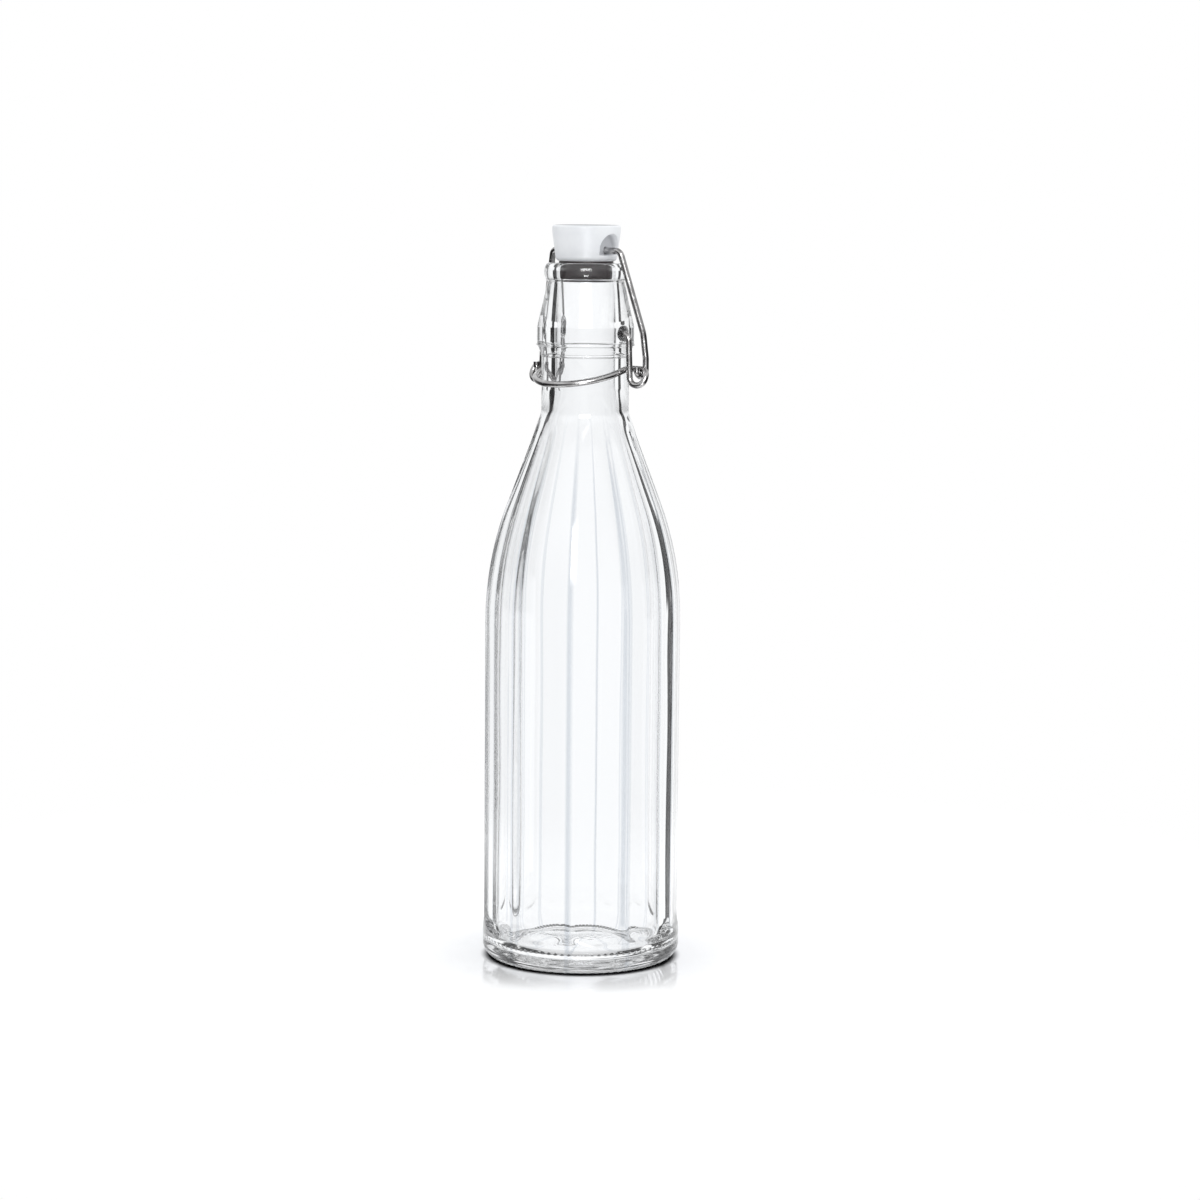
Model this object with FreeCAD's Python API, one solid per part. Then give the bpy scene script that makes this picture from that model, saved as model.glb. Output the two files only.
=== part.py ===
import FreeCAD, Part
import math
import os

Vector = FreeCAD.Vector

# Overall sizes of the bottle, in millimetres
total_height = 260.0
body_diameter = 70.0
flat_depth = 1.45            # flats below the round of the corners
facet_count = 10
facet_turn = 14.0            # degrees from the pivot axis to the nearest corner

# Foot, wall and shoulder of the glass
heel_radius = 5.0
foot_ring_width = 3.5
punt_height = 4.0
floor_height = 8.5
floor_corner = 9.0
wall_at_flat = 3.0
facet_foot = 14.0            # height where the flats begin to run out
facet_foot_radius = 4.0
shoulder_radius = 120.0
shoulder_slope = 20.0        # degrees from vertical
facet_root_radius = 60.0
neck_fillet = 8.0
neck_below_pivot = 19.7      # straight neck under the pivot, where the handle lies

# Neck finish, with heights measured down from the top of the lip
neck_radius = 15.4
facet_neck_gap = 0.1
neck_wall = 5.2
lip_inset = 0.75             # lip inside the round of the neck
lip_depth = 5.6
lip_edge = 1.6
lip_undercut = 1.25
lip_slope = 1.0
mouth_chamfer = 0.3
pivot_drop = 24.15
collar_rise = 1.6
collar_over_pivot = 2.05
collar_height = 6.5
collar_slope = 3.6
dimple_depth = 3.8
dimple_mouth_radius = 2.6
dimple_mouth_depth = 1.2

# Stopper
stopper_height = 12.8        # flange to crown
seat_gap = 0.55              # flange over lip, taken up by the seal on the real bottle
stopper_radius = 12.0
crown_rise = 1.1
crown_edge = 1.0
rim_band = 1.2               # straight side under the crown
foot_band = 1.2              # straight side at the flange
flange_seat = 0.3            # stopper's foot over the lip, beyond the mouth's chamfer
wire_hole_height = 3.8       # bail axis above the flange
pocket_width = 9.0
pocket_top = 9.3             # above the flange
pocket_foot = 2.3
pocket_depth = 3.4
stem_radius = 5.0
button_lip = 1.2             # button beyond the stem
button_height = 2.0
button_edge = 1.2

# Seal ring on the stem
seal_gap = 0.7               # off the bore, taken up by the rubber on the real bottle
seal_taper = 0.4
seal_height = 5.3
seal_edge = 0.9
seal_clearance = 0.05

# Bent wires
wire_diameter = 2.2
pivot_clearance = 0.1        # wire in the dimples and in the stopper
hook_clearance = 0.25        # hook round the eye
handle_gap = 0.25            # handle off the neck
pin_end_gap = 0.3
eye_clearance = 0.55         # bail wire in the eye
eye_drop = 12.2              # eye strand below the pivot
eye_set_back = 2.8           # eye strand behind the pivot
leg_gap = 1.3                # lever leg off the collar
leg_splay = 0.8              # more at the eye
eye_lead = 0.5               # eye turn set back at its foot
handle_tilt = 15.0           # degrees, down to the front
handle_lead = 4.3            # straight part of the handle before its round front
pin_bend = 2.4
handle_bend = 2.6
bail_overhang = 0.55         # bail's upper bend beyond the lip
bail_knee_inset = 0.25       # bail's knee inside the middle of the eye
bail_top_bend = 2.4
bail_knee_bend = 12.0
hook_lead = 3.6              # straight leg above the eye strand
hook_lead_bend = 8.0
hook_tail = 0.8

# Places and fits worked out from the sizes above
wire_radius = wire_diameter / 2
body_radius = body_diameter / 2
flat_radius = body_radius - flat_depth
inner_radius = flat_radius - wall_at_flat
foot_ring_outer = body_radius - heel_radius
foot_ring_inner = foot_ring_outer - foot_ring_width
lip_top = total_height - stopper_height - seat_gap
flange_foot = lip_top + seat_gap
pivot_height = lip_top - pivot_drop
bail_height = flange_foot + wire_hole_height
collar_top = pivot_height + collar_over_pivot
collar_foot = collar_top - collar_height
neck_foot = pivot_height - neck_below_pivot
bore_radius = neck_radius - neck_wall
lip_radius = neck_radius - lip_inset
collar_radius = neck_radius + collar_rise
facet_neck = neck_radius + facet_neck_gap
flange_radius = bore_radius + mouth_chamfer + flange_seat
pocket_floor = stopper_radius - pocket_depth
button_radius = stem_radius + button_lip
seal_radius = bore_radius - seal_gap
seal_foot_radius = seal_radius - seal_taper
eye_radius = wire_diameter + eye_clearance
eye_height = pivot_height - eye_drop
eye_foot = eye_height - 2 * eye_radius
leg_offset = collar_radius + leg_gap + wire_radius
eye_inner = leg_offset + leg_splay
eye_middle = eye_inner + eye_radius
eye_outer = eye_inner + 2 * eye_radius
reach = 2 * body_diameter
slope = math.radians(shoulder_slope)
corner_ratio = body_radius / flat_radius
corner_slope = math.atan(corner_ratio * math.tan(slope))
corner_shoulder_radius = shoulder_radius / corner_ratio


class Outline:
    """A flat outline in the XZ plane, drawn point by point."""

    def __init__(self, x, z):
        self.start = Vector(x, 0, z)
        self.here = self.start
        self.edges = []

    def line(self, x, z):
        there = Vector(x, 0, z)
        self.edges.append(Part.LineSegment(self.here, there).toShape())
        self.here = there

    def arc(self, centre_x, centre_z, radius, first, last):
        """An arc about a centre between two angles in degrees."""
        points = []
        for angle in (first, (first + last) / 2, last):
            turn = math.radians(angle)
            points.append(Vector(centre_x + radius * math.cos(turn), 0, centre_z + radius * math.sin(turn)))
        if self.here.distanceToPoint(points[0]) > 1e-6:
            self.line(points[0].x, points[0].z)
        self.edges.append(Part.Arc(self.here, points[1], points[2]).toShape())
        self.here = points[2]

    def face(self):
        self.line(self.start.x, self.start.z)
        return Part.Face(Part.Wire(self.edges))

    def turned(self):
        return self.face().revolve(Vector(0, 0, 0), Vector(0, 0, 1), 360)


def shoulder_rise(body, neck, arc_radius, root_radius, lean):
    """Height from the shoulder's foot to where it meets the neck."""
    fall = body - neck - (arc_radius + root_radius) * (1 - math.cos(lean))
    return (arc_radius + root_radius) * math.sin(lean) + fall / math.tan(lean)


def add_shoulder(outline, foot, body, neck, arc_radius, root_radius, lean):
    """A shoulder from the body up to the neck: round, straight, then hollow."""
    degrees = math.degrees(lean)
    top = foot + shoulder_rise(body, neck, arc_radius, root_radius, lean)
    outline.arc(body - arc_radius, foot, arc_radius, 0, degrees)
    outline.arc(neck + root_radius, top, root_radius, 180 + degrees, 180)


shoulder_foot = neck_foot - shoulder_rise(flat_radius, facet_neck, shoulder_radius, facet_root_radius, slope)


def round_glass():
    """The turned outside of the bottle, before the flats are cut."""
    lip_foot = lip_top - lip_depth
    punt_radius = (foot_ring_inner ** 2 + punt_height ** 2) / (2 * punt_height)
    punt_angle = math.degrees(math.asin(foot_ring_inner / punt_radius))
    outline = Outline(0, punt_height)
    outline.arc(0, punt_height - punt_radius, punt_radius, 90, 90 - punt_angle)
    outline.line(foot_ring_outer, 0)
    outline.arc(foot_ring_outer, heel_radius, heel_radius, -90, 0)
    add_shoulder(outline, shoulder_foot, body_radius, neck_radius,
                 corner_shoulder_radius, neck_fillet, corner_slope)
    outline.line(neck_radius, collar_foot - collar_slope)
    outline.line(collar_radius, collar_foot)
    outline.line(collar_radius, collar_top)
    outline.line(lip_radius - lip_undercut, lip_foot - lip_slope)
    outline.line(lip_radius, lip_foot)
    outline.arc(lip_radius - lip_edge, lip_top - lip_edge, lip_edge, 0, 90)
    outline.line(0, lip_top)
    return outline.turned()


def flat_slab():
    """All that lies inside one flat of the body, which leaves the foot and the neck alone."""
    outline = Outline(reach, -reach)
    outline.line(reach, facet_foot - facet_foot_radius)
    outline.arc(flat_radius + facet_foot_radius, facet_foot, facet_foot_radius, 270, 180)
    add_shoulder(outline, shoulder_foot, flat_radius, facet_neck,
                 shoulder_radius, facet_root_radius, slope)
    outline.line(reach, neck_foot)
    outline.line(reach, total_height)
    outline.line(-reach, total_height)
    outline.line(-reach, -reach)
    slab = outline.face().extrude(Vector(0, 2 * reach, 0))
    slab.translate(Vector(0, -reach, 0))
    return slab


def bottle_inside():
    """The hollow of the bottle, from the floor to the chamfered mouth."""
    outline = Outline(0, floor_height)
    outline.line(inner_radius - floor_corner, floor_height)
    outline.arc(inner_radius - floor_corner, floor_height + floor_corner, floor_corner, -90, 0)
    add_shoulder(outline, shoulder_foot, inner_radius, bore_radius,
                 shoulder_radius - wall_at_flat, facet_root_radius, slope)
    outline.line(bore_radius, lip_top - mouth_chamfer)
    outline.line(bore_radius + 2 * mouth_chamfer, lip_top + mouth_chamfer)
    outline.line(0, lip_top + mouth_chamfer)
    return outline.turned()


def dimple(side):
    """A pivot hole for the lever's end, with a wide mouth."""
    out = Vector(side, 0, 0)
    bottom = Vector(side * (collar_radius - dimple_depth), 0, pivot_height)
    hole = Part.makeCylinder(wire_radius + pivot_clearance, 2 * dimple_depth, bottom, out)
    mouth_foot = Vector(side * (collar_radius - dimple_mouth_depth), 0, pivot_height)
    flare = dimple_mouth_radius - wire_radius - pivot_clearance
    mouth = Part.makeCone(wire_radius + pivot_clearance, dimple_mouth_radius + flare,
                          2 * dimple_mouth_depth, mouth_foot, out)
    return hole.fuse(mouth)


def glass_bottle():
    glass = round_glass()
    slab = flat_slab()
    half_step = 180.0 / facet_count
    for index in range(facet_count):
        turned_slab = slab.copy()
        angle = facet_turn + half_step + index * 360.0 / facet_count
        turned_slab.rotate(Vector(0, 0, 0), Vector(0, 0, 1), angle)
        glass = glass.common(turned_slab)
    glass = glass.cut(bottle_inside())
    for side in (-1, 1):
        glass = glass.cut(dimple(side))
    return glass


def pocket(side):
    """The arched pocket in the stopper's side, where the bail comes out."""
    half = pocket_width / 2
    spring = flange_foot + pocket_top - half
    box = Part.makeBox(stopper_radius, pocket_width, spring - flange_foot - pocket_foot,
                       Vector(pocket_floor, -half, flange_foot + pocket_foot))
    arch = Part.makeCylinder(half, stopper_radius, Vector(pocket_floor, 0, spring), Vector(1, 0, 0))
    shape = box.fuse(arch)
    if side < 0:
        shape.rotate(Vector(0, 0, 0), Vector(0, 0, 1), 180)
    return shape


def stopper():
    """The head, the stem that carries the seal, and the button that holds it."""
    crown = flange_foot + stopper_height
    rim = crown - crown_rise
    edge_x = stopper_radius - crown_edge
    crown_radius = (edge_x ** 2 + crown_rise ** 2) / (2 * crown_rise)
    crown_angle = math.degrees(math.asin(edge_x / crown_radius))
    button_top = flange_foot - seal_height - seal_clearance
    button_foot = button_top - button_height
    dome = button_height - button_edge
    dome_radius = (button_radius ** 2 + dome ** 2) / (2 * dome)
    dome_angle = math.degrees(math.asin(button_radius / dome_radius))
    outline = Outline(0, button_foot)
    outline.arc(0, button_foot + dome_radius, dome_radius, -90, -90 + dome_angle)
    outline.line(button_radius, button_top)
    outline.line(stem_radius, button_top)
    outline.line(stem_radius, flange_foot)
    outline.line(flange_radius, flange_foot)
    outline.line(flange_radius, flange_foot + foot_band)
    outline.line(stopper_radius, rim - crown_edge - rim_band)
    outline.arc(edge_x, rim - crown_edge, crown_edge, 0, 90)
    outline.arc(0, crown - crown_radius, crown_radius, 90 - crown_angle, 90)
    solid = outline.turned()
    hole = Part.makeCylinder(wire_radius + pivot_clearance, 4 * stopper_radius,
                             Vector(-2 * stopper_radius, 0, bail_height), Vector(1, 0, 0))
    solid = solid.cut(hole)
    for side in (-1, 1):
        solid = solid.cut(pocket(side))
    return solid


def seal_ring():
    """The rubber ring round the stem, tapered so that it leaves the mouth freely."""
    top = flange_foot
    foot = flange_foot - seal_height
    bore = stem_radius + seal_clearance
    outline = Outline(bore, foot)
    outline.line(seal_foot_radius - seal_edge, foot)
    outline.arc(seal_foot_radius - seal_edge, foot + seal_edge, seal_edge, -90, 0)
    outline.line(seal_radius, top - seal_edge)
    outline.line(seal_radius, top)
    outline.line(bore, top)
    return outline.turned()


def bent_wire(points, bends):
    """A round wire along straight runs, with a tangent arc of the given radius at each inner point."""
    edges = []
    here = points[0]
    for before, corner, after, bend in zip(points, points[1:], points[2:], bends):
        inward = (corner - before).normalize()
        onward = (after - corner).normalize()
        half_turn = math.acos(inward.dot(onward)) / 2
        setback = bend * math.tan(half_turn)
        first = corner - inward * setback
        last = corner + onward * setback
        toward_centre = (onward - inward).normalize()
        middle = corner + toward_centre * (bend / math.cos(half_turn) - bend)
        if here.distanceToPoint(first) > 1e-6:
            edges.append(Part.LineSegment(here, first).toShape())
        edges.append(Part.Arc(first, middle, last).toShape())
        here = last
    edges.append(Part.LineSegment(here, points[-1]).toShape())
    section = Part.makeCircle(wire_radius, points[0], points[1] - points[0])
    return Part.Wire(edges).makePipeShell([Part.Wire(section)], True, False)


def mirrored(half_points):
    """A path's right half followed by its left half."""
    return half_points + [Vector(-p.x, p.y, p.z) for p in reversed(half_points)]


def lever_wire():
    """Pivot end, leg, eye and the handle round the neck, then the same on the other side."""
    tilt = math.radians(handle_tilt)
    handle_half = neck_radius + wire_radius + handle_gap
    run = handle_lead + handle_half
    front = eye_set_back - run * math.cos(tilt)
    front_height = eye_height - run * math.sin(tilt)
    half = [
        Vector(collar_radius - dimple_depth + pin_end_gap, 0, pivot_height),
        Vector(leg_offset, 0, pivot_height),
        Vector(eye_inner, 0, eye_foot),
        Vector(eye_outer, eye_lead, eye_foot),
        Vector(eye_outer, eye_set_back, eye_height),
        Vector(handle_half, eye_set_back, eye_height),
        Vector(handle_half, front, front_height),
    ]
    bends = [pin_bend, eye_radius, eye_radius, eye_radius, handle_bend, handle_half]
    return bent_wire(mirrored(half), bends + bends[::-1])


def bail_wire():
    """Hook, leg and the bar through the stopper, then the same on the other side."""
    hook_radius = wire_diameter + hook_clearance
    behind = eye_set_back + hook_radius
    before = eye_set_back - hook_radius
    hook_top = eye_height + hook_lead
    knee_back = behind * (bail_height - pivot_height) / (bail_height - hook_top)
    half = [
        Vector(0, 0, bail_height),
        Vector(lip_radius + bail_overhang, 0, bail_height),
        Vector(eye_middle - bail_knee_inset, knee_back, pivot_height),
        Vector(eye_middle, behind, hook_top),
        Vector(eye_middle, behind, eye_height - hook_radius),
        Vector(eye_middle, before, eye_height - hook_radius),
        Vector(eye_middle, before, eye_height + hook_tail),
    ]
    bends = [bail_top_bend, bail_knee_bend, hook_lead_bend, hook_radius, hook_radius]
    return bent_wire(mirrored(half[:0:-1]), bends[::-1] + bends)


os.makedirs("parts", exist_ok=True)
pieces = {
    "glass_bottle": glass_bottle(),
    "stopper": stopper(),
    "seal_ring": seal_ring(),
    "bail_wire": bail_wire(),
    "lever_wire": lever_wire(),
}
for name, shape in pieces.items():
    solid = shape.Solids[0]
    print(name, "solids", len(shape.Solids), "valid", shape.isValid(), "volume", round(solid.Volume, 1),
          "box", [round(v, 2) for v in (solid.BoundBox.XMin, solid.BoundBox.XMax, solid.BoundBox.YMin,
                                        solid.BoundBox.YMax, solid.BoundBox.ZMin, solid.BoundBox.ZMax)])
    solid.exportStep("parts/" + name + ".step")
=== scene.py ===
import math

import bpy
import numpy as np
from mathutils import Matrix


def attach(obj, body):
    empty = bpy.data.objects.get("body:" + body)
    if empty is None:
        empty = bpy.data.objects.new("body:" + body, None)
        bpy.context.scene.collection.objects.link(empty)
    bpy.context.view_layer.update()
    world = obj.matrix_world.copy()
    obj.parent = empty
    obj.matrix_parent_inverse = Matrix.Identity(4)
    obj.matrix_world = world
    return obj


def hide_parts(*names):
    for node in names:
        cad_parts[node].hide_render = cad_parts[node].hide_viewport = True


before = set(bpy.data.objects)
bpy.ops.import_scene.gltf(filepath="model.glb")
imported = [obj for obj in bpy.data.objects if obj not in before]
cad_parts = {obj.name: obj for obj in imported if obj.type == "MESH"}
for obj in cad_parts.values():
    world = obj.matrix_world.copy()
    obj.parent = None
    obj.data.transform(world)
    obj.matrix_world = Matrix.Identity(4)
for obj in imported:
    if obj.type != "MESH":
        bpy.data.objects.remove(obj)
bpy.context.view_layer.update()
MM = 0.001

# Body of the glass, in millimetres and degrees, as the frame holds it
BODY_RADIUS = 35.0
FLAT_RADIUS = 33.55
FACETS = 10
FACET_TURN = 14.0
CORNER_ROUNDING = 0.5
HEEL_RADIUS = 5.0
FOOT_RING = (26.5, 30.0)
PUNT_HEIGHT = 4.0
WALL = 3.0
FACET_FOOT = 15.6
FACET_FOOT_RADIUS = 8.8
SHOULDER_RADIUS = 120.0
SHOULDER_SLOPE = math.radians(20.0)
FACET_ROOT_RADIUS = 60.0
NECK_FILLET = 8.0
NECK_FOOT = 202.8
FACET_NECK = 15.5
FLOOR_HEIGHT = 7.0
FLOOR_EDGE_HEIGHT = 4.2
FLOOR_CORNER = 6.5

# Foot ring's row of small knobs, and the unevenness of the hollow
KNOBS = 72
KNOB_HEIGHT = 0.6
KNOB_RING = (27.2, 32.6)
RIPPLE = 0.12
UNEVENNESS = 0.16

# Neck finish
NECK_RADIUS = 15.4
BORE_RADIUS = 10.2
LIP_TOP = 246.65
LIP_RADIUS = 14.65
LIP_DEPTH = 5.6
LIP_EDGE = 1.6
LIP_BULGE = 6.0
LIP_SLOPE = 0.7
LIP_UNDERCUT = 1.25
COLLAR_RADIUS = 17.0
COLLAR_TOP = 224.55
COLLAR_FOOT = 218.05
COLLAR_SLOPE = 3.6
FINISH_ROUNDING = 0.25
MOUTH_CHAMFER = 0.3
PIVOT_HEIGHT = 222.5
DIMPLE_DEPTH = 3.7
DIMPLE_FLOOR_RADIUS = 1.4
DIMPLE_MOUTH_RADIUS = 2.9
SEAM_HEIGHT = 0.32
SEAM_WIDTH = 0.3

# Stopper, with heights above its flange
FLANGE_FOOT = 247.2
FLANGE_RADIUS = 10.8
STOPPER_RADIUS = 12.0
STOPPER_HEIGHT = 12.8
CROWN_DROP = 0.3
CROWN_EDGE = 0.8
DISH_DEPTH = 0.7
DISH_SLOPE = 0.6
DISH_RISE = 0.3
RIM_BAND = 1.2
FOOT_BAND = 1.5
FOOT_EDGE = 1.5
SIDE_ROUNDING = 0.5
POCKET_HALF = 4.5
POCKET_SPRING = 4.8
POCKET_FOOT = 2.3
POCKET_FLOOR = 8.6
POCKET_ROUNDING = 0.35
WIRE_HOLE_HEIGHT = 3.8
WIRE_HOLE_RADIUS = 1.25
WIRE_HOLE_DEPTH = 2.5
STEM_RADIUS = 5.0
BUTTON_RADIUS = 6.2
BUTTON_DOME = 0.8
BUTTON_EDGE = 1.2
SEAL_SPACE = 5.35

# The photograph's camera, in millimetres, degrees and pixels
CAMERA_AZIMUTH = 40.0
CAMERA_DISTANCE = 1156.0
CAMERA_HEIGHT = 277.0
CAMERA_AIM = 130.0
CAMERA_ROLL = 0.5
IMAGE_SIZE = 1200.0
FOCAL_PIXELS = 3294.0
PRINCIPAL_POINT = (583.4, 593.8)
SENSOR = 36.0

# Floor: where it is solid, where it has faded out, its painted contact shadow and its faint reflection
FLOOR_SOLID = 0.16
FLOOR_END = 0.34
CONTACT_START = 0.0325
CONTACT_END = 0.0363
MIRROR_START = 0.036
MIRROR_END = 0.072
MIRROR_STRENGTH = 0.55


def smooth_step(low, high, value):
    t = np.clip((value - low) / (high - low), 0.0, 1.0)
    return t * t * (3.0 - 2.0 * t)


def soft_min(a, b, width):
    """The smaller of two lengths, with the corner between them rounded."""
    h = np.clip(0.5 + 0.5 * (b - a) / width, 0.0, 1.0)
    return b + (a - b) * h - width * h * (1.0 - h)


def shoulder_rise(body, neck, arc, root, slope):
    fall = body - neck - (arc + root) * (1.0 - math.cos(slope))
    return (arc + root) * math.sin(slope) + fall / math.tan(slope)


def shoulder(z, foot, body, neck, arc, root, slope):
    """Radius of a shoulder that is round, then straight, then hollow up to the neck."""
    top = foot + shoulder_rise(body, neck, arc, root, slope)
    arc_end = foot + arc * math.sin(slope)
    root_start = top - root * math.sin(slope)
    rise = np.clip(z - foot, 0.0, arc * math.sin(slope))
    radius = body - arc + np.sqrt(arc ** 2 - rise ** 2)
    straight = body - arc * (1.0 - math.cos(slope)) - (z - arc_end) * math.tan(slope)
    radius = np.where(z > arc_end, straight, radius)
    drop = np.clip(top - z, 0.0, root)
    hollow = neck + root - np.sqrt(root ** 2 - drop ** 2)
    radius = np.where(z > root_start, hollow, radius)
    return np.where(z > top, neck, radius)


SHOULDER_FOOT = NECK_FOOT - shoulder_rise(FLAT_RADIUS, FACET_NECK, SHOULDER_RADIUS,
                                          FACET_ROOT_RADIUS, SHOULDER_SLOPE)
CORNER_RATIO = BODY_RADIUS / FLAT_RADIUS
CORNER_SLOPE = math.atan(CORNER_RATIO * math.tan(SHOULDER_SLOPE))
INNER_RADIUS = FLAT_RADIUS - WALL
CROWN_RIM = FLANGE_FOOT + STOPPER_HEIGHT - CROWN_DROP
CROWN_INSIDE = STOPPER_RADIUS - CROWN_EDGE
LIP_MIDDLE = LIP_TOP - LIP_DEPTH / 2.0 - 0.4
LIP_TURN = math.asin((LIP_TOP - LIP_EDGE - LIP_MIDDLE) / (LIP_BULGE - LIP_EDGE))


def rounded_profile(z, heights, radii, rounding):
    """Radius along straight runs, with the corners between them rounded."""
    offsets = np.linspace(-rounding, rounding, 9)
    return np.mean([np.interp(z + offset, heights, radii) for offset in offsets], axis=0)


def finish_radius(z):
    """Radius of the round neck finish: neck, collar, taper and lip, with its edges rounded."""
    under = COLLAR_FOOT - COLLAR_SLOPE
    lip_foot = LIP_TOP - LIP_DEPTH
    heights = [under, COLLAR_FOOT, COLLAR_TOP, lip_foot - LIP_SLOPE, lip_foot]
    radii = [NECK_RADIUS, COLLAR_RADIUS, COLLAR_RADIUS, LIP_RADIUS - LIP_UNDERCUT, LIP_RADIUS]
    radius = rounded_profile(z, heights, radii, FINISH_ROUNDING)
    off_middle = np.where(z > lip_foot, z - LIP_MIDDLE, 0.0)
    radius = radius - LIP_BULGE + np.sqrt(LIP_BULGE ** 2 - off_middle ** 2)
    for seam in (COLLAR_FOOT, under):
        radius = radius + SEAM_HEIGHT * np.exp(-((z - seam) / SEAM_WIDTH) ** 2)
    return radius


def round_radius(z):
    """Radius of the bottle as if it had no flats."""
    body = shoulder(z, SHOULDER_FOOT, BODY_RADIUS, NECK_RADIUS, SHOULDER_RADIUS / CORNER_RATIO,
                    NECK_FILLET, CORNER_SLOPE)
    return np.where(z > NECK_FOOT + 2.0, finish_radius(z), body)


def flat_distance(z):
    """Distance of a flat from the axis, which runs out at the foot and at the neck."""
    flat = shoulder(z, SHOULDER_FOOT, FLAT_RADIUS, FACET_NECK, SHOULDER_RADIUS, FACET_ROOT_RADIUS,
                    SHOULDER_SLOPE)
    drop = np.clip(FACET_FOOT - z, 0.0, FACET_FOOT_RADIUS)
    run_out = FACET_FOOT_RADIUS - np.sqrt(FACET_FOOT_RADIUS ** 2 - drop ** 2)
    flat = np.where(z < FACET_FOOT, flat + run_out, flat)
    return np.where(z > NECK_FOOT, BODY_RADIUS * 2, flat)


def outer_radius(angle, z):
    """Radius of the outside of the glass at an angle and a height."""
    step = 2.0 * math.pi / FACETS
    off_middle = np.mod(angle - math.radians(FACET_TURN), step) - step / 2.0
    flat = flat_distance(z) / np.cos(off_middle)
    radius = soft_min(round_radius(z), flat, CORNER_ROUNDING)
    from_pivot = np.hypot(radius * np.sin(angle), z - PIVOT_HEIGHT)
    dent = 1.0 - smooth_step(DIMPLE_FLOOR_RADIUS, DIMPLE_MOUTH_RADIUS, from_pivot)
    return radius - DIMPLE_DEPTH * dent


def unevenness(angle, z):
    """Slow wander of the blown hollow, from three long waves."""
    return (np.sin(2.0 * angle + 0.031 * z + 0.4) + 0.7 * np.sin(3.0 * angle - 0.057 * z + 2.1)
            + 0.5 * np.sin(5.0 * angle + 0.088 * z + 4.0)) / 2.2


def inner_radius(angle, z):
    """Radius of the hollow at an angle and a height above its floor's corner."""
    radius = shoulder(z, SHOULDER_FOOT, INNER_RADIUS, BORE_RADIUS, SHOULDER_RADIUS - WALL,
                      FACET_ROOT_RADIUS, SHOULDER_SLOPE)
    in_neck = smooth_step(150.0, 200.0, np.asarray(z, dtype=float))
    return radius + UNEVENNESS * (1.0 - in_neck) * unevenness(angle, z)


def grid_mesh(name, rows):
    """A closed mesh from rows of points, each row once round the axis, with a fan at both ends."""
    count = len(rows[0])
    points = [tuple(p * MM) for row in rows for p in row]
    faces = []
    for r in range(len(rows) - 1):
        for c in range(count):
            d = (c + 1) % count
            faces.append((r * count + c, r * count + d, (r + 1) * count + d, (r + 1) * count + c))
    first = len(points)
    last_row = (len(rows) - 1) * count
    points += [tuple(np.mean(rows[0], axis=0) * MM), tuple(np.mean(rows[-1], axis=0) * MM)]
    for c in range(count):
        d = (c + 1) % count
        faces.append((first, d, c))
        faces.append((first + 1, last_row + c, last_row + d))
    mesh = bpy.data.meshes.new(name)
    mesh.from_pydata(points, [], faces)
    mesh.update()
    mesh.shade_smooth()
    return mesh


def column_angles():
    """Angles round the bottle, one degree apart, with more beside the corners of the flats."""
    angles = set(np.arange(0.0, 360.0, 1.0))
    for k in range(FACETS):
        corner = FACET_TURN + k * 360.0 / FACETS
        for off in (-1.5, -0.5, 0.5, 1.5):
            angles.add((corner + off) % 360.0)
    return np.radians(sorted(angles))


def ring(angles, radius, height):
    """One row of points round the axis."""
    radius = np.broadcast_to(radius, angles.shape)
    height = np.broadcast_to(height, angles.shape)
    return np.stack([radius * np.cos(angles), radius * np.sin(angles), height], axis=1)


def spans(*parts):
    """Heights along several spans, each given as low, high and count."""
    return np.concatenate([np.linspace(low, high, count, endpoint=False) for low, high, count in parts])


def knob_rise(angles, radius):
    """How far the foot ring stands off the floor between its knobs."""
    low, high = KNOB_RING
    middle = (low + high) / 2.0
    on_ring = 1.0 - smooth_step(0.45, 1.0, abs(radius - middle) / (high - middle))
    return KNOB_HEIGHT * on_ring * (0.5 - 0.5 * np.cos(KNOBS * angles))


def ripple(angles, radius):
    """Small ripples in the punt, which die out at the middle and at the foot ring."""
    waves = (np.sin(7.0 * angles + 0.9 * radius) + np.sin(11.0 * angles - 1.3 * radius + 1.0)
             + np.sin(4.0 * angles + 2.1 * radius + 2.0)) / 3.0
    return RIPPLE * waves * smooth_step(0.0, 8.0, radius) * (1.0 - smooth_step(24.0, FOOT_RING[0], radius))


def foot_rows(angles):
    """The punt, the foot ring with its knobs, and the round heel."""
    rows = []
    punt_radius = (FOOT_RING[0] ** 2 + PUNT_HEIGHT ** 2) / (2.0 * PUNT_HEIGHT)
    for r in np.linspace(1.0, FOOT_RING[0], 44):
        height = PUNT_HEIGHT - punt_radius + math.sqrt(punt_radius ** 2 - r ** 2)
        rows.append(ring(angles, r, height + ripple(angles, r)))
    for r in np.linspace(*FOOT_RING, 9)[1:-1]:
        rows.append(ring(angles, r, knob_rise(angles, r)))
    for turn in np.radians(np.linspace(-90.0, 0.0, 25)[:-1]):
        radius = BODY_RADIUS - HEEL_RADIUS + HEEL_RADIUS * math.cos(turn)
        height = HEEL_RADIUS + HEEL_RADIUS * math.sin(turn)
        rows.append(ring(angles, radius, height + knob_rise(angles, radius)))
    return rows


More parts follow.
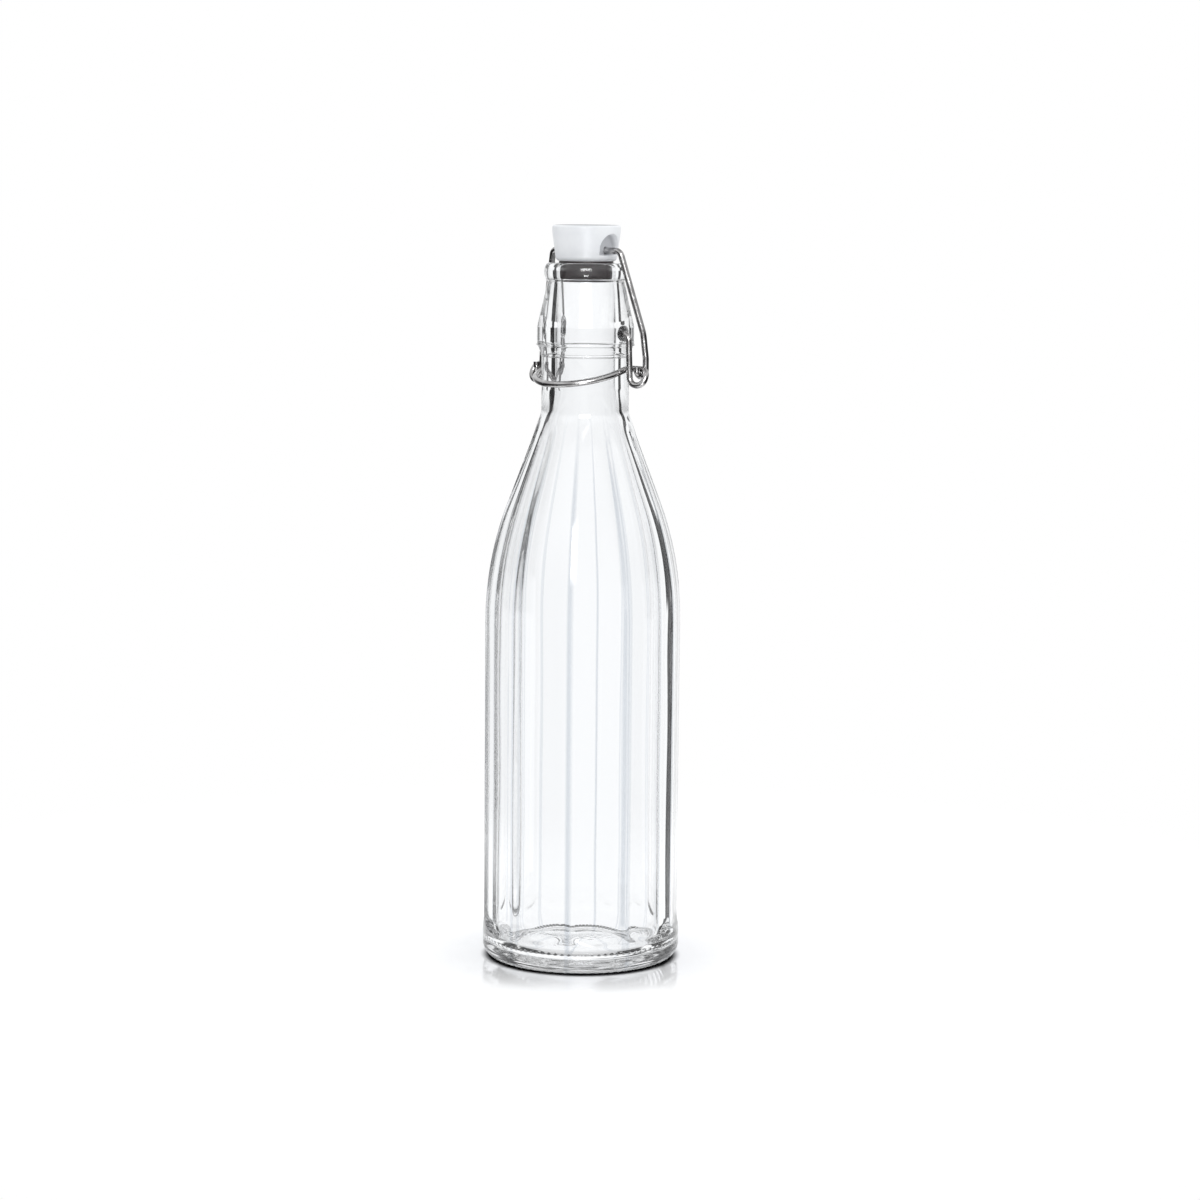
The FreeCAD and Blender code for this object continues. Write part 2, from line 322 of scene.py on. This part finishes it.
def outside_rows(angles):
    """The outside from the heel up to the round edge of the lip."""
    heights = spans((HEEL_RADIUS, 9.0, 4), (9.0, 18.0, 24), (18.0, 120.0, 16), (120.0, 188.0, 34),
                    (188.0, 206.0, 44), (206.0, 213.5, 8), (213.5, 219.0, 44), (219.0, 226.5, 26),
                    (226.5, 239.0, 24), (239.0, 242.0, 16),
                    (242.0, LIP_MIDDLE + LIP_BULGE * math.sin(LIP_TURN), 12))
    rows = [ring(angles, outer_radius(angles, np.full(angles.shape, z)), z) for z in heights]
    edge = LIP_RADIUS - LIP_BULGE + (LIP_BULGE - LIP_EDGE) * math.cos(LIP_TURN)
    for turn in np.linspace(LIP_TURN, math.pi / 2.0, 9):
        rows.append(ring(angles, edge + LIP_EDGE * math.cos(turn),
                         LIP_TOP - LIP_EDGE + LIP_EDGE * math.sin(turn)))
    return rows


def inside_rows(angles):
    """The rounded mouth, the bore, the hollow and its floor."""
    rows = []
    for turn in np.radians(np.linspace(90.0, 180.0, 5)):
        rows.append(ring(angles, BORE_RADIUS + MOUTH_CHAMFER + MOUTH_CHAMFER * math.cos(turn),
                         LIP_TOP - MOUTH_CHAMFER + MOUTH_CHAMFER * math.sin(turn)))
    corner_middle = FLOOR_EDGE_HEIGHT + FLOOR_CORNER
    for z in np.concatenate([np.linspace(244.0, 210.0, 10), np.linspace(208.0, 118.0, 60),
                             np.linspace(114.0, corner_middle, 30)]):
        rows.append(ring(angles, inner_radius(angles, z), z))
    wander = UNEVENNESS * unevenness(angles, corner_middle)
    edge = INNER_RADIUS - FLOOR_CORNER
    for turn in np.radians(np.linspace(0.0, -90.0, 17)[1:]):
        rows.append(ring(angles, edge + wander + FLOOR_CORNER * math.cos(turn),
                         corner_middle + FLOOR_CORNER * math.sin(turn)))
    for share in np.linspace(1.0, 0.04, 16)[1:]:
        dome = FLOOR_EDGE_HEIGHT + (FLOOR_HEIGHT - FLOOR_EDGE_HEIGHT) * (1.0 - smooth_step(0.0, 1.0, share))
        rows.append(ring(angles, (edge + wander) * share, dome))
    return rows


def stopper_radius(angle, z):
    """Radius of the stopper's side, with the two arched pockets and the wire's hole let in."""
    heights = [FLANGE_FOOT + FOOT_BAND, CROWN_RIM - CROWN_EDGE - RIM_BAND]
    radius = rounded_profile(z, heights, [FLANGE_RADIUS, STOPPER_RADIUS], SIDE_ROUNDING)
    across = radius * np.sin(angle)
    above = z - FLANGE_FOOT
    outside = np.maximum(np.hypot(across, np.maximum(above - POCKET_SPRING, 0.0)) - POCKET_HALF, POCKET_FOOT - above)
    pocket = 1.0 - smooth_step(-POCKET_ROUNDING, POCKET_ROUNDING, outside)
    floor = np.minimum(POCKET_FLOOR / np.maximum(np.abs(np.cos(angle)), 0.5), radius)
    radius = radius + (floor - radius) * pocket
    hole = 1.0 - smooth_step(0.9, 1.05, np.hypot(across, above - WIRE_HOLE_HEIGHT) / WIRE_HOLE_RADIUS)
    return radius - WIRE_HOLE_DEPTH * hole


def stopper_mesh():
    """Button, stem, flange, side and crown in one skin."""
    angles = np.radians(np.arange(0.0, 360.0, 1.0))
    button_top = FLANGE_FOOT - SEAL_SPACE
    button_foot = button_top - BUTTON_EDGE - BUTTON_DOME
    rows = []
    for share in np.linspace(0.1, 1.0, 10):
        rows.append(ring(angles, BUTTON_RADIUS * share, button_foot + BUTTON_DOME * share ** 2))
    rows.append(ring(angles, BUTTON_RADIUS, button_top - 0.1))
    rows.append(ring(angles, BUTTON_RADIUS - 0.1, button_top))
    rows.append(ring(angles, STEM_RADIUS, button_top))
    rows.append(ring(angles, STEM_RADIUS, FLANGE_FOOT))
    foot = FLANGE_RADIUS - FOOT_EDGE
    for turn in np.radians(np.linspace(-90.0, 0.0, 10)[:-1]):
        rows.append(ring(angles, foot + FOOT_EDGE * math.cos(turn),
                         FLANGE_FOOT + FOOT_EDGE + FOOT_EDGE * math.sin(turn)))
    for z in np.linspace(FLANGE_FOOT + FOOT_EDGE, CROWN_RIM - CROWN_EDGE, 100):
        rows.append(ring(angles, stopper_radius(angles, np.full(angles.shape, z)), z))
    for turn in np.radians(np.linspace(0.0, 90.0, 10)[1:]):
        rows.append(ring(angles, CROWN_INSIDE + CROWN_EDGE * math.cos(turn),
                         CROWN_RIM - CROWN_EDGE + CROWN_EDGE * math.sin(turn)))
    for share in np.linspace(0.0, 1.0, 10)[1:]:
        rows.append(ring(angles, CROWN_INSIDE - DISH_SLOPE * share,
                         CROWN_RIM - DISH_DEPTH * smooth_step(0.0, 1.0, share)))
    for share in np.linspace(1.0, 0.05, 14)[1:]:
        rows.append(ring(angles, (CROWN_INSIDE - DISH_SLOPE) * share,
                         CROWN_RIM - DISH_DEPTH + DISH_RISE * (1.0 - share ** 2)))
    return grid_mesh("stopper", rows)


def glass_mesh():
    angles = column_angles()
    return grid_mesh("glass", foot_rows(angles) + outside_rows(angles) + inside_rows(angles))


class Graph:
    """Short calls for building a node tree."""

    def __init__(self, tree):
        self.nodes = tree.nodes
        self.links = tree.links

    def add(self, kind, **settings):
        node = self.nodes.new(kind)
        for name, value in settings.items():
            setattr(node, name, value)
        return node

    def feed(self, socket, value):
        if isinstance(value, bpy.types.NodeSocket):
            self.links.new(value, socket)
        else:
            socket.default_value = value

    def math(self, operation, *values):
        node = self.add("ShaderNodeMath", operation=operation)
        for socket, value in zip(node.inputs, values):
            self.feed(socket, value)
        return node.outputs[0]

    def ease(self, value, low, high, at_low=0.0, at_high=1.0):
        """A smooth step from one number to another."""
        node = self.add("ShaderNodeMapRange", interpolation_type="SMOOTHSTEP")
        for name, number in (("Value", value), ("From Min", low), ("From Max", high),
                             ("To Min", at_low), ("To Max", at_high)):
            self.feed(node.inputs[name], number)
        return node.outputs["Result"]

    def band(self, value, middle, half, soft):
        """One inside a band about a middle, falling to nothing at its soft edges."""
        off = self.math("ABSOLUTE", self.math("SUBTRACT", value, middle))
        return self.ease(off, half, half + soft, 1.0, 0.0)

    def mix(self, share, first, second):
        """A number that goes from the first to the second."""
        node = self.add("ShaderNodeMix")
        for socket, value in zip(node.inputs[:4], (share, None, first, second)):
            if value is not None:
                self.feed(socket, value)
        return node.outputs[0]

    def noise(self, vector, scale, detail=3.0):
        node = self.add("ShaderNodeTexNoise")
        self.links.new(vector, node.inputs["Vector"])
        node.inputs["Scale"].default_value = scale
        node.inputs["Detail"].default_value = detail
        return node.outputs["Fac"]

    def tint(self, share, first, second):
        """A colour that goes from the first to the second."""
        node = self.add("ShaderNodeMix", data_type="RGBA")
        self.feed(node.inputs[0], share)
        for socket, value in ((node.inputs[6], first), (node.inputs[7], second)):
            self.feed(socket, (*value, 1.0) if isinstance(value, tuple) else value)
        return node.outputs[2]

    def bump(self, height, distance, strength=1.0):
        node = self.add("ShaderNodeBump")
        node.inputs["Strength"].default_value = strength
        node.inputs["Distance"].default_value = distance
        self.links.new(height, node.inputs["Height"])
        return node.outputs["Normal"]


def new_material(name):
    material = bpy.data.materials.new(name)
    material.use_nodes = True
    graph = Graph(material.node_tree)
    shader = material.node_tree.nodes["Principled BSDF"]
    place = graph.add("ShaderNodeTexCoord").outputs["Object"]
    return material, graph, shader, place


def glass_material():
    """Clear pressed glass, a little wavy, with a faint cool tone, and painted shade along its ridges and in its
    dimples.
    """
    material, graph, shader, place = new_material("clear_glass")
    apart = graph.add("ShaderNodeSeparateXYZ")
    graph.links.new(place, apart.inputs["Vector"])
    around = graph.math("ARCTAN2", apart.outputs["Y"], apart.outputs["X"])
    wave = graph.math("COSINE", graph.math("MULTIPLY_ADD", around, FACETS, -FACETS * math.radians(FACET_TURN)))
    on_body = graph.ease(apart.outputs["Z"], NECK_FOOT * MM, (NECK_FOOT - 40.0) * MM)
    reach = graph.math("SQRT", graph.math("ADD", graph.math("POWER", apart.outputs["X"], 2.0),
                                          graph.math("POWER", apart.outputs["Y"], 2.0)))
    # painted shade: the glass is tinted darker and bluer along each ridge between the flats, standing in for the
    # dark lines refraction draws there
    ridge_shade = graph.math("MULTIPLY", graph.ease(wave, 0.95, 1.0), on_body)
    colour = graph.tint(ridge_shade, (0.99, 0.994, 0.999), (0.72, 0.75, 0.79))
    above = graph.math("SUBTRACT", apart.outputs["Z"], PIVOT_HEIGHT * MM)
    from_pivot = graph.math("SQRT", graph.math("ADD", graph.math("POWER", apart.outputs["Y"], 2.0),
                                               graph.math("POWER", above, 2.0)))
    # painted shade: the outer glass is tinted dark grey in the two dimples that hold the wire's pivot
    dimple_shade = graph.ease(from_pivot, DIMPLE_MOUTH_RADIUS * MM, (DIMPLE_MOUTH_RADIUS - 0.5) * MM)
    dimple_shade = graph.math("MULTIPLY", dimple_shade, graph.ease(reach, 11.4 * MM, 12.0 * MM))
    colour = graph.tint(dimple_shade, colour, (0.36, 0.36, 0.37))
    graph.links.new(colour, shader.inputs["Base Color"])
    shader.inputs["IOR"].default_value = 1.5
    shader.inputs["Transmission Weight"].default_value = 1.0
    stretch = graph.add("ShaderNodeMapping")
    stretch.inputs["Scale"].default_value = (1.0, 1.0, 0.35)
    graph.links.new(place, stretch.inputs["Vector"])
    waves = graph.noise(stretch.outputs["Vector"], 60.0, 1.0)
    graph.links.new(graph.bump(waves, 0.0004, 0.5), shader.inputs["Normal"])
    smooth = graph.ease(graph.noise(place, 400.0), 0.45, 0.8, 0.0, 0.02)
    below = graph.ease(apart.outputs["Z"], (PUNT_HEIGHT + 0.2) * MM, (PUNT_HEIGHT + 0.1) * MM)
    under = graph.math("MULTIPLY", graph.ease(reach, 31.0 * MM, 30.0 * MM), below)
    graph.links.new(graph.mix(under, smooth, 0.1), shader.inputs["Roughness"])
    return material


def plastic_material():
    """White moulded plastic with a satin skin, with painted shade in its pockets and on the wall of its dished
    crown.
    """
    material, graph, shader, place = new_material("white_plastic")
    cloud = graph.noise(place, 180.0)
    colour = graph.tint(graph.ease(cloud, 0.3, 0.7), (0.83, 0.845, 0.87), (0.87, 0.885, 0.905))
    apart = graph.add("ShaderNodeSeparateXYZ")
    graph.links.new(place, apart.inputs["Vector"])
    reach = graph.math("SQRT", graph.math("ADD", graph.math("POWER", apart.outputs["X"], 2.0),
                                          graph.math("POWER", apart.outputs["Y"], 2.0)))
    # painted shade: the plastic is tinted darker grey on the sloping wall of the dished crown, so its far rim shows
    # as a line
    on_crown = graph.ease(apart.outputs["Z"], (CROWN_RIM - 1.0) * MM, (CROWN_RIM - 0.8) * MM)
    crown_wall_shade = graph.band(reach, (CROWN_INSIDE - DISH_SLOPE / 2.0) * MM, DISH_SLOPE / 2.0 * MM, 0.2 * MM)
    # painted shade: the plastic is tinted grey inside the two arched pockets, where shade falls
    side = graph.band(apart.outputs["Z"], (FLANGE_FOOT + 5.8) * MM, 4.0 * MM, 0.4 * MM)
    pocket_shade = graph.math("MULTIPLY", side, graph.ease(reach, 10.9 * MM, 9.4 * MM))
    colour = graph.tint(pocket_shade, colour, (0.55, 0.56, 0.585))
    colour = graph.tint(graph.math("MULTIPLY", crown_wall_shade, on_crown), colour, (0.4, 0.405, 0.42))
    graph.links.new(colour, shader.inputs["Base Color"])
    grain = graph.noise(place, 2500.0, 2.0)
    graph.links.new(graph.ease(cloud, 0.3, 0.7, 0.3, 0.42), shader.inputs["Roughness"])
    graph.links.new(graph.bump(grain, 0.00004, 0.4), shader.inputs["Normal"])
    return material


def rubber_material():
    """Brown-grey rubber with a faint bloom."""
    material, graph, shader, place = new_material("grey_rubber")
    bloom = graph.noise(place, 500.0, 4.0)
    colour = graph.tint(graph.ease(bloom, 0.3, 0.75), (0.048, 0.037, 0.039), (0.07, 0.056, 0.058))
    graph.links.new(colour, shader.inputs["Base Color"])
    graph.links.new(graph.ease(bloom, 0.3, 0.75, 0.38, 0.55), shader.inputs["Roughness"])
    graph.links.new(graph.bump(graph.noise(place, 3000.0, 2.0), 0.00005, 0.5), shader.inputs["Normal"])
    return material


def steel_material():
    """Drawn steel wire, dark and bright by turns."""
    material, graph, shader, place = new_material("steel_wire")
    shader.inputs["Metallic"].default_value = 1.0
    cloud = graph.noise(place, 350.0, 4.0)
    colour = graph.tint(graph.ease(cloud, 0.3, 0.7), (0.36, 0.35, 0.35), (0.54, 0.535, 0.535))
    graph.links.new(colour, shader.inputs["Base Color"])
    graph.links.new(graph.ease(cloud, 0.3, 0.7, 0.12, 0.22), shader.inputs["Roughness"])
    graph.links.new(graph.bump(graph.noise(place, 4000.0, 3.0), 0.00003, 0.5), shader.inputs["Normal"])
    return material


def paint(node, material):
    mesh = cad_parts[node].data
    mesh.materials.clear()
    mesh.materials.append(material)


def add_piece(name, mesh, material, body, node):
    piece = bpy.data.objects.new(name, mesh)
    bpy.context.scene.collection.objects.link(piece)
    mesh.materials.append(material)
    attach(piece, body)
    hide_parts(node)
    return piece


def set_camera():
    data = bpy.data.cameras.new("camera")
    data.sensor_width = SENSOR
    data.lens = SENSOR * FOCAL_PIXELS / IMAGE_SIZE
    data.shift_x = (IMAGE_SIZE / 2 - PRINCIPAL_POINT[0]) / IMAGE_SIZE
    data.shift_y = (PRINCIPAL_POINT[1] - IMAGE_SIZE / 2) / IMAGE_SIZE
    camera = bpy.data.objects.new("camera", data)
    bpy.context.scene.collection.objects.link(camera)
    turn = math.radians(CAMERA_AZIMUTH)
    pitch = math.atan((CAMERA_HEIGHT - CAMERA_AIM) / CAMERA_DISTANCE)
    camera.location = (CAMERA_DISTANCE * math.sin(turn) * MM, -CAMERA_DISTANCE * math.cos(turn) * MM,
                       CAMERA_HEIGHT * MM)
    aim = Matrix.Rotation(turn, 3, "Z") @ Matrix.Rotation(math.pi / 2 - pitch, 3, "X")
    camera.rotation_euler = (aim @ Matrix.Rotation(math.radians(CAMERA_ROLL), 3, "Z")).to_euler()
    bpy.context.scene.camera = camera


def set_floor():
    """A pale floor round the object, with a painted contact shadow round its foot, that fades out into the white
    beyond it.
    """
    mesh = bpy.data.meshes.new("floor")
    half = FLOOR_END
    mesh.from_pydata([(-half, -half, 0), (half, -half, 0), (half, half, 0), (-half, half, 0)], [], [(0, 1, 2, 3)])
    floor = bpy.data.objects.new("floor", mesh)
    bpy.context.scene.collection.objects.link(floor)
    material = bpy.data.materials.new("floor")
    material.use_nodes = True
    material.node_tree.nodes.clear()
    graph = Graph(material.node_tree)
    place = graph.add("ShaderNodeTexCoord").outputs["Object"]
    length = graph.add("ShaderNodeVectorMath", operation="LENGTH")
    graph.links.new(place, length.inputs[0])
    far = length.outputs["Value"]
    # painted contact shadow: the floor's colour, glow and reflection fade to near black in a ring just round the
    # foot
    shade = graph.ease(far, CONTACT_START, CONTACT_END)
    matt = graph.add("ShaderNodeBsdfDiffuse")
    graph.links.new(graph.tint(shade, (0.01, 0.01, 0.01), (0.85, 0.85, 0.85)), matt.inputs["Color"])
    glow = graph.add("ShaderNodeEmission")
    graph.links.new(graph.math("MULTIPLY", shade, 0.25), glow.inputs["Strength"])
    pale = graph.add("ShaderNodeAddShader")
    graph.links.new(matt.outputs[0], pale.inputs[0])
    graph.links.new(glow.outputs[0], pale.inputs[1])
    mirror = graph.add("ShaderNodeBsdfGlossy")
    mirror.inputs["Roughness"].default_value = 0.1
    graph.links.new(graph.tint(shade, (0.01, 0.01, 0.01), (0.84, 0.845, 0.87)), mirror.inputs["Color"])
    clear = graph.add("ShaderNodeBsdfTransparent")
    glossy = graph.add("ShaderNodeMixShader")
    faded = graph.add("ShaderNodeMixShader")
    graph.links.new(graph.ease(far, MIRROR_START, MIRROR_END, MIRROR_STRENGTH, 0.0), glossy.inputs[0])
    graph.links.new(pale.outputs[0], glossy.inputs[1])
    graph.links.new(mirror.outputs[0], glossy.inputs[2])
    bent = graph.math("MINIMUM", graph.add("ShaderNodeLightPath").outputs["Transmission Depth"], 1.0)
    graph.links.new(graph.math("MAXIMUM", graph.ease(far, FLOOR_SOLID, FLOOR_END), bent), faded.inputs[0])
    graph.links.new(glossy.outputs[0], faded.inputs[1])
    graph.links.new(clear.outputs[0], faded.inputs[2])
    output = graph.add("ShaderNodeOutputMaterial")
    graph.links.new(faded.outputs[0], output.inputs["Surface"])
    mesh.materials.append(material)


def set_world():
    """White all round, with soft panels, dark cards and a darker ceiling for the glass and steel."""
    world = bpy.data.worlds.new("studio")
    bpy.context.scene.world = world
    world.use_nodes = True
    world.cycles.sampling_method = "NONE"
    world.node_tree.nodes.clear()
    graph = Graph(world.node_tree)
    path = graph.add("ShaderNodeLightPath").outputs
    direction = graph.add("ShaderNodeTexCoord").outputs["Generated"]
    turned = graph.add("ShaderNodeVectorRotate", rotation_type="Z_AXIS")
    turned.inputs["Angle"].default_value = -math.radians(CAMERA_AZIMUTH)
    graph.links.new(direction, turned.inputs["Vector"])
    axes = graph.add("ShaderNodeSeparateXYZ")
    graph.links.new(turned.outputs["Vector"], axes.inputs["Vector"])
    across, ahead, up = axes.outputs
    heading = graph.math("DEGREES", graph.math("ARCTAN2", across, ahead))
    height = graph.math("DEGREES", graph.math("ARCSINE", up))

    soft = graph.ease(up, -1.0, 1.0, 0.8, 1.18)
    soft = graph.math("ADD", soft, graph.math("MULTIPLY", across, 0.1))

    streak = graph.math("POWER", graph.math("ABSOLUTE", graph.math("COSINE", graph.math("RADIANS", heading))), 6.0)
    shiny = graph.math("MULTIPLY_ADD", streak, 1.1, 0.04)
    shiny = graph.mix(graph.ease(height, 4.0, 26.0), shiny, 1.0)
    shiny = graph.math("MULTIPLY", shiny, graph.ease(height, -30.0, -15.0, 0.15, 1.0))
    shiny = graph.math("MULTIPLY", shiny, graph.ease(height, 50.0, 70.0, 1.0, 0.5))
    aside = graph.math("ABSOLUTE", heading)
    upper_lamp = graph.math("MULTIPLY", graph.ease(aside, 161.0, 171.0), graph.band(height, 20.0, 5.0, 8.0))
    lower_lamp = graph.math("MULTIPLY", graph.ease(aside, 172.0, 175.0), graph.band(height, -22.0, 5.0, 2.0))
    lamps = graph.math("MAXIMUM", upper_lamp, lower_lamp)
    shiny = graph.math("MULTIPLY_ADD", lamps, 14.0, shiny)

    ceiling = graph.ease(height, 12.0, 26.0, 1.0, 0.1)
    through = graph.math("MULTIPLY", graph.ease(aside, 15.0, 45.0, 1.06, 1.0), ceiling)
    through = graph.math("MULTIPLY", through, graph.ease(height, -48.0, -30.0, 0.72, 1.0))
    through = graph.math("MULTIPLY", through, graph.ease(height, -6.5, -2.5, 1.0, 0.95))

    left_card = graph.band(heading, -52.0, 5.0, 3.0)
    cards = graph.math("MAXIMUM", graph.band(heading, 39.0, 6.0, 3.0), graph.band(heading, -50.0, 10.0, 4.0))
    cards = graph.math("MAXIMUM", cards, graph.band(aside, 84.0, 14.0, 10.0))
    low_card = graph.math("MULTIPLY", graph.band(heading, 20.0, 14.0, 5.0), graph.band(height, -35.0, 6.0, 4.0))
    cards = graph.math("MAXIMUM", cards, low_card)
    body_cards = graph.math("MAXIMUM", left_card, graph.band(heading, 25.0, 12.0, 3.0))
    dark = graph.mix(graph.band(height, -10.0, 3.8, 2.0), cards, body_cards)
    dark = graph.math("MAXIMUM", dark, graph.ease(aside, 98.0, 108.0, 0.0, 0.5))
    inside = graph.math("MULTIPLY_ADD", dark, -1.02, 1.05)
    inside = graph.math("MULTIPLY", inside, graph.ease(height, 8.0, 20.0, 1.0, 0.72))

    bent = graph.math("MINIMUM", path["Transmission Depth"], 1.0)
    shone = graph.math("MINIMUM", path["Glossy Depth"], 1.0)
    diffused = graph.math("MINIMUM", path["Diffuse Depth"], 1.0)
    solid = graph.math("MAXIMUM", shone, graph.ease(path["Transmission Depth"], 2.0, 3.0, 1.0, 0.0))
    seen = graph.mix(bent, graph.mix(shone, soft, shiny), graph.mix(solid, through, inside))
    strength = graph.mix(diffused, seen, soft)

    studio = graph.add("ShaderNodeBackground")
    studio.inputs["Color"].default_value = (0.985, 0.993, 1.0, 1.0)
    graph.links.new(strength, studio.inputs["Strength"])
    white = graph.add("ShaderNodeBackground")
    white.inputs["Color"].default_value = (1.0, 1.0, 1.0, 1.0)
    pick = graph.add("ShaderNodeMixShader")
    graph.links.new(path["Is Camera Ray"], pick.inputs[0])
    graph.links.new(studio.outputs[0], pick.inputs[1])
    graph.links.new(white.outputs[0], pick.inputs[2])
    output = graph.add("ShaderNodeOutputWorld")
    graph.links.new(pick.outputs[0], output.inputs["Surface"])
    bpy.context.scene.view_settings.view_transform = "Standard"
    bpy.context.scene.cycles.max_bounces = 32
    bpy.context.scene.cycles.glossy_bounces = 24
    bpy.context.scene.cycles.transmission_bounces = 24


set_camera()
set_world()
set_floor()
add_piece("glass", glass_mesh(), glass_material(), "bottle", "glass_bottle")
add_piece("stopper_head", stopper_mesh(), plastic_material(), "closure", "stopper")
paint("seal_ring", rubber_material())
steel = steel_material()
paint("bail_wire", steel)
paint("lever_wire", steel)
